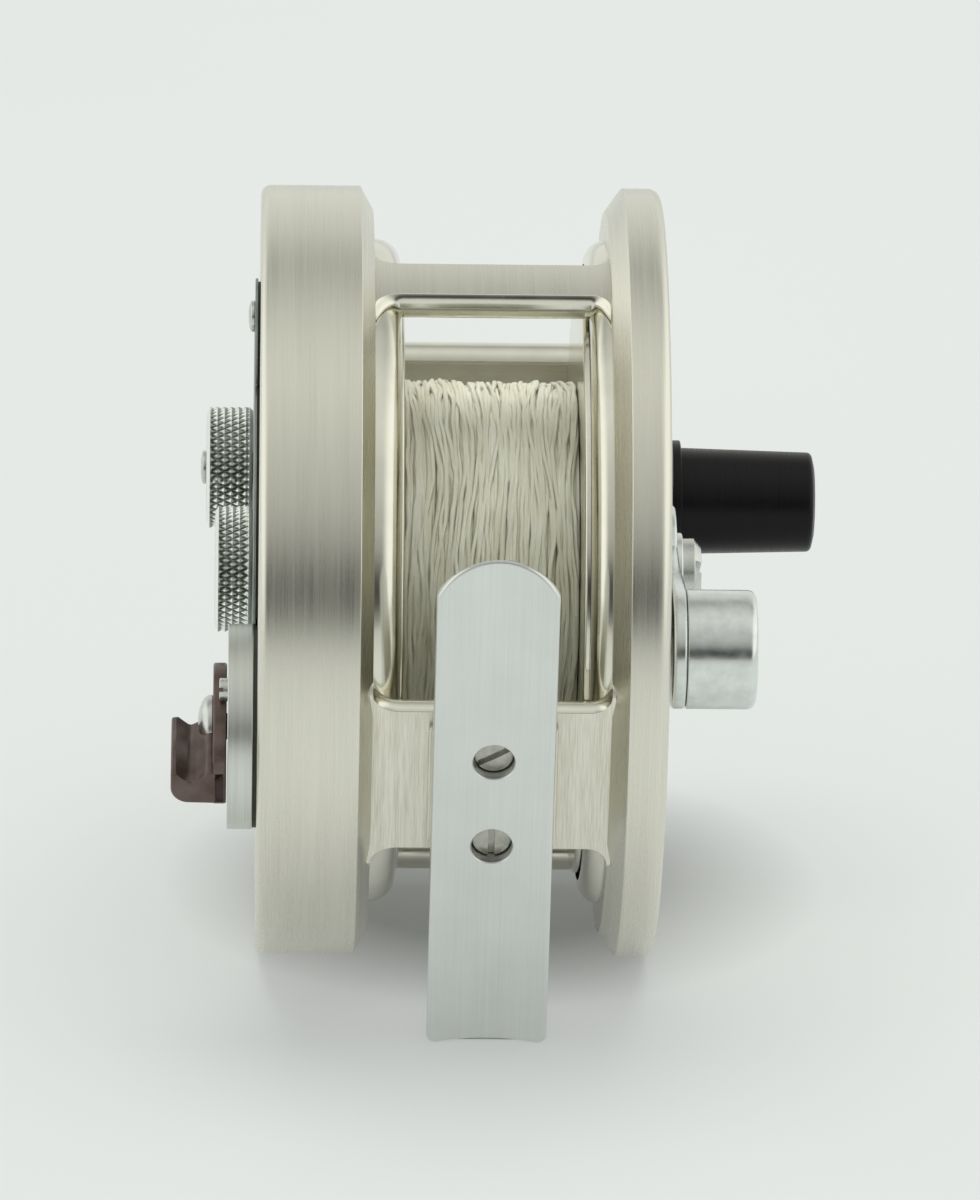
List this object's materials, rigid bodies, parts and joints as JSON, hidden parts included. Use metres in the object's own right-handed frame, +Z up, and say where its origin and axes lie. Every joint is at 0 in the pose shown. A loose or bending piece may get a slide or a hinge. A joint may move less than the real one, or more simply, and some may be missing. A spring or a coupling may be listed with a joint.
{
  "type": "fly fishing reel",
  "caption": "Fly fishing reel: ported one-piece frame with foot, crank-driven spool of backing line, disc drag, click lever and knurled adjusters.",
  "frame": {"origin": "middle of the bounding box, on the surface the reel stands on: it rests on the lowest points of its two rims and on the lower end of its foot", "axes": "+X along the spool axis from the drag side to the crank side, +Z up, -Y out through the foot, which leans back by the foot tilt"},
  "size_m": [0.081, 0.1036, 0.095],
  "materials": {
    "frame": "satin champagne anodised, turned",
    "spool": "polished champagne anodised",
    "foot": "satin clear anodised",
    "satin": "satin clear anodised",
    "screw_satin": "satin nickel",
    "steel": "machined",
    "knurled_steel": "knurled",
    "brushed_grey": "brushed grey anodised",
    "dark_plate": "dark anodised",
    "gasket": "matte",
    "oxblood": "oxblood anodised, satin",
    "black": "satin black",
    "backing_line": "braided, matte",
    "cork": "cork",
    "brass": "turned"
  },
  "bodies": {
    "reel_frame": {"frame": "frame", "foot": "foot", "foot_screw_upper": "steel", "foot_screw_lower": "steel", "back_cover": "frame", "cover_screw_1": "steel", "cover_screw_2": "steel", "cover_screw_3": "steel", "back_gasket": "gasket", "back_plate": "dark_plate", "plate_screw": "screw_satin", "dial_gasket": "gasket", "dial_disc": "brushed_grey", "dial_screw": "steel", "side_plate": "frame", "side_screw_1": "steel", "side_screw_2": "steel", "side_screw_3": "steel", "bearing_left": "steel", "bearing_right": "steel", "pawl_pin": "steel", "click_spring": "steel", "guide_pin_1": "steel", "guide_pin_2": "steel"},
    "spool_and_crank": {"spool": "spool", "line": "backing_line", "spindle": "steel", "click_wheel": "steel", "brake_disc": "steel", "cork_washer": "cork", "crank": "satin", "hub_screw": "steel", "counterweight": "satin", "counterweight_screw": "steel", "handle_axle": "steel"},
    "handle_knob": {"handle": "black", "handle_bush": "brass"},
    "drag_adjuster": {"drag_knob": "knurled_steel", "drag_screw": "steel"},
    "drag_pressure": {"pressure_plate": "steel", "thrust_washer": "steel"},
    "tension_adjuster": {"tension_knob": "knurled_steel", "tension_stem": "steel", "tension_knob_screw": "screw_satin"},
    "click_lever": {"lever": "oxblood", "lever_shaft": "steel", "lever_screw": "screw_satin"},
    "click_pawl": {"pawl": "steel"}
  },
  "joints": [
    {"name": "spool_spin", "type": "hinge", "parent": "reel_frame", "child": "spool_and_crank", "pos_m": [-0.00185, 0.00432, 0.0475], "axis": [1, 0, 0], "continuous": true},
    {"name": "handle_spin", "type": "hinge", "parent": "spool_and_crank", "child": "handle_knob", "pos_m": [0.02815, 0.03725, 0.04537], "axis": [1, 0, 0], "continuous": true},
    {"name": "drag_knob_turn", "type": "hinge", "parent": "reel_frame", "child": "drag_adjuster", "pos_m": [-0.00185, 0.00432, 0.0475], "axis": [1, 0, 0], "range_deg": [-72.1, 144.1]},
    {"name": "pressure_plate_slide", "type": "slide", "parent": "reel_frame", "child": "drag_pressure", "axis": [1, 0, 0], "range_m": [-0.0001, 0.0002]},
    {"name": "tension_knob_turn", "type": "hinge", "parent": "reel_frame", "child": "tension_adjuster", "pos_m": [-0.03385, 0.02552, 0.05336], "axis": [1, 0, 0], "range_deg": [-90, 90]},
    {"name": "click_lever_turn", "type": "hinge", "parent": "reel_frame", "child": "click_lever", "pos_m": [-0.03485, -0.02749, 0.03871], "axis": [1, 0, 0], "range_deg": [0, 28]},
    {"name": "pawl_turn", "type": "hinge", "parent": "reel_frame", "child": "click_pawl", "pos_m": [-0.02235, -0.01389, 0.03832], "axis": [1, 0, 0], "range_deg": [-14.1, 0.1]}
  ],
  "couplings": [
    {"joint": "drag_knob_turn", "follows": "pressure_plate_slide", "rad_per_m": 12566},
    {"joint": "pawl_turn", "follows": "click_lever_turn", "ratio": -0.5}
  ]
}
